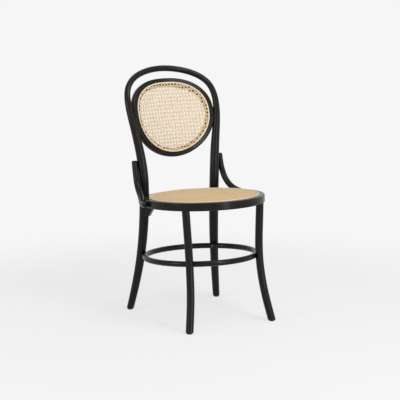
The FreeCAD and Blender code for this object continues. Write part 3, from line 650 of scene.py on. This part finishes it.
def oldSteel(name, dark, bright, roughness):
    # screws and bolts: darkened steel, brighter where a driver or spanner has rubbed it
    material, tree, surface = newMaterial(name)
    position = place(tree, "TexCoord").outputs["Object"]
    clouds = useGroup(tree, uneven, Position=position, Size=steelLook["cloudSize"])
    small = scaled(tree, position, steelLook["markScale"])
    marks = useGroup(tree, rubbed, Position=small, Amount=steelLook["rub"])
    cloudy = mixed(tree, steelLook["cloudShare"], dark, bright)
    metal = mixed(tree, clouds["Cloud"], dark, cloudy)
    tree.links.new(mixed(tree, marks["Mask"], metal, bright), surface["Base Color"])
    tree.links.new(ranged(tree, clouds["Fine"], 0.0, 1.0, *roughness), surface["Roughness"])
    bumped(tree, surface, clouds["Fine"], *steelLook["bump"])
    surface["Metallic"].default_value = 1.0
    return material


dress(oldSteel("screw_steel", *steelLook["screws"]), "back_ring_screws", "leg_ring_screws",
      "brace_top_screws", "brace_seat_screws", "block_screws", "tenon_lock_screws")
dress(oldSteel("bolt_steel", *steelLook["bolts"]), "seat_bolts", "seat_bolt_washers",
      "seat_bolt_nuts", "glide_nails")


glideLook = {
    "dark": shade(30, 29, 28),
    "grey": shade(46, 44, 42),
    "scuffed": shade(92, 89, 85),
    "cloudSize": 120.0,
    "markScale": 4.0,
    "rub": 0.7,
    "roughness": (0.45, 0.65),
    "bump": (0.25, 0.0001),
}


def glidePlastic():
    # moulded foot glides, scuffed by the floor
    material, tree, surface = newMaterial("glide_plastic")
    position = place(tree, "TexCoord").outputs["Object"]
    clouds = useGroup(tree, uneven, Position=position, Size=glideLook["cloudSize"])
    small = scaled(tree, position, glideLook["markScale"])
    marks = useGroup(tree, rubbed, Position=small, Amount=glideLook["rub"])
    body = mixed(tree, clouds["Cloud"], glideLook["dark"], glideLook["grey"])
    tree.links.new(mixed(tree, marks["Mask"], body, glideLook["scuffed"]), surface["Base Color"])
    tree.links.new(ranged(tree, clouds["Fine"], 0.0, 1.0, *glideLook["roughness"]), surface["Roughness"])
    bumped(tree, surface, clouds["Fine"], *glideLook["bump"])
    return material


dress(glidePlastic(), "foot_glides")
print("steel and glides finished")


# floor, light and camera

studio = {
    "paper": shade(246, 246, 246),
    "floorRings": (0.4, 0.8, 1.6, 3.2, 8.0, 40.0),
    "floorPoints": 96,
    "fade": (0.75, 1.6),            # from the lit floor to the plain paper beyond it, in metres
    "shadow": 0.30,                 # how much of the lit floor, and so of the shadow, is seen
    "surroundings": 0.50,           # grey of the light from all round
    "lamps": [
        # name, place, size across and down, watts
        ("front", (0.5, -3.0, 1.2), (0.6, 2.0), 26.0),
        ("side", (-2.9, -0.4, 1.4), (0.6, 1.6), 20.0),
        ("top", (0.6, -1.3, 3.0), (1.2, 1.2), 26.0),
    ],
    "aim": (0.0, 0.0, 0.5),
}


def seenDirectly(tree):
    # 1 for what the camera, a reflection or a clear body shows, and 0 for light that falls on things
    seen = place(tree, "LightPath").outputs
    straight = sums(tree, "ADD", seen["Is Camera Ray"], seen["Is Glossy Ray"])
    return sums(tree, "ADD", straight, seen["Is Transmission Ray"], clamp=True)


def paperFloor():
    # lit white paper near the chair, and the same colour unlit further out, for what the camera
    # and reflections see; from below it is clear
    turns = np.linspace(0, 2 * math.pi, studio["floorPoints"] + 1)[:-1]
    rings = np.array(studio["floorRings"])[:, None]
    x, y = rings * np.cos(turns), rings * np.sin(turns)
    points = np.concatenate([np.zeros((1, 3)), np.stack([x, y, np.zeros_like(x)], axis=-1).reshape(-1, 3)])
    index = 1 + np.arange(len(rings) * len(turns)).reshape(len(rings), len(turns))
    beside = np.roll(index, -1, axis=1)
    quads = np.stack([index[:-1], index[1:], beside[1:], beside[:-1]], axis=-1).reshape(-1, 4)
    fan = np.stack([np.zeros(len(turns), int), index[0], beside[0]], axis=-1)
    mesh = bpy.data.meshes.new("floor")
    mesh.from_pydata(points.tolist(), [], quads.tolist() + fan.tolist())
    floor = bpy.data.objects.new("floor", mesh)
    bpy.context.scene.collection.objects.link(floor)
    material = bpy.data.materials.new("paper")
    tree = clearTree(material)
    x, y, _ = place(tree, "SeparateXYZ", {0: place(tree, "TexCoord").outputs["Object"]}).outputs
    fadeStart, fadeEnd = studio["fade"]
    away = place(tree, "MapRange", {0: radial(tree, x, y), 1: fadeStart, 2: fadeEnd},
                 interpolation_type="SMOOTHSTEP").outputs[0]
    lit = place(tree, "BsdfDiffuse", {"Color": studio["paper"]}).outputs[0]
    plain = place(tree, "Emission", {"Color": studio["paper"], "Strength": 1.0}).outputs[0]
    plainShare = ranged(tree, away, 0.0, 1.0, 1.0 - studio["shadow"], 1.0)
    seenShare = sums(tree, "MULTIPLY", plainShare, seenDirectly(tree))
    top = place(tree, "MixShader", {0: seenShare, 1: lit, 2: plain}).outputs[0]
    under = place(tree, "NewGeometry").outputs["Backfacing"]
    clear = place(tree, "BsdfTransparent").outputs[0]
    both = place(tree, "MixShader", {0: under, 1: top, 2: clear}).outputs[0]
    place(tree, "OutputMaterial", {"Surface": both})
    mesh.materials.append(material)


def paperWorld():
    # plain grey light from all round, and the paper's colour where it is seen
    world = bpy.data.worlds.new("studio")
    bpy.context.scene.world = world
    tree = clearTree(world)
    grey = studio["surroundings"]
    colour = mixed(tree, seenDirectly(tree), (grey, grey, grey, 1.0), studio["paper"])
    background = place(tree, "Background", {"Color": colour, "Strength": 1.0})
    place(tree, "OutputWorld", {"Surface": background.outputs[0]})


def softLamp(name, spot, size, watts):
    data = bpy.data.lights.new(name, "AREA")
    data.shape, data.energy = "RECTANGLE", watts
    data.size, data.size_y = size
    lamp = bpy.data.objects.new(name, data)
    towards = np.array(studio["aim"]) - np.array(spot)
    across = np.hypot(towards[0], towards[1])
    lamp.location = spot
    lamp.rotation_euler = (math.atan2(across, -towards[2]), 0.0, math.atan2(-towards[0], towards[1]))
    bpy.context.scene.collection.objects.link(lamp)


photoView = {
    "place": (-2.7804, -4.6523, 1.4423),
    "turned": (math.radians(90 - 10.667), 0.0, math.radians(-30.991)),      # down by 10.667 degrees
    "lens": 136.44,
    "sensorWidth": 36.0,
    "clip": (0.1, 100.0),
}


def photoCamera():
    # the photograph's own viewing angle, for a square picture
    data = bpy.data.cameras.new("camera")
    data.lens, data.sensor_width, data.sensor_fit = photoView["lens"], photoView["sensorWidth"], "HORIZONTAL"
    data.clip_start, data.clip_end = photoView["clip"]
    camera = bpy.data.objects.new("camera", data)
    camera.location = photoView["place"]
    camera.rotation_euler = photoView["turned"]
    bpy.context.scene.collection.objects.link(camera)
    bpy.context.scene.camera = camera


paperFloor()
paperWorld()
for lamp in studio["lamps"]:
    softLamp(*lamp)
photoCamera()
bpy.context.scene.view_settings.view_transform = "Standard"
print("floor, light and camera placed")
